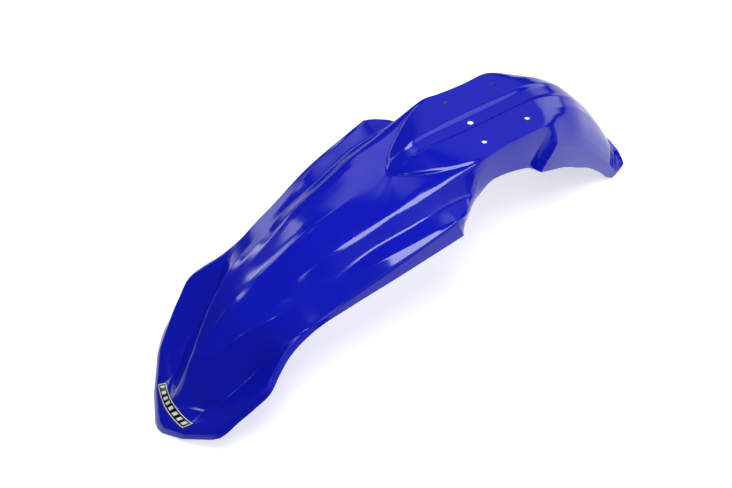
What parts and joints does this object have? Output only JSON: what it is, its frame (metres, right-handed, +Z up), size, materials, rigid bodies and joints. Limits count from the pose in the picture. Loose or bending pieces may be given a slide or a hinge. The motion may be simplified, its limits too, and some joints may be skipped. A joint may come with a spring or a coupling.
{
  "type": "motorcycle front mudguard",
  "caption": "High front mudguard for an off-road motorcycle: long pointed nose, side wings and a channelled saddle that bolts under the fork crown, curving down to a short tail.",
  "frame": {"origin": "on the floor under the middle of the shell's length and width, in the pose in which the loose part rests", "axes": "+X from the nose to the tail, +Y to the rider's right when the nose points forward, +Z up; the nose lip and the two rear corners touch Z = 0"},
  "size_m": [0.7404, 0.227, 0.2285],
  "materials": {
    "shell": "gloss injection-moulded polypropylene, deep blue",
    "decal": "gloss black vinyl label with a white keyline"
  },
  "bodies": {
    "root": {"mudguard": "shell"}
  },
  "joints": []
}
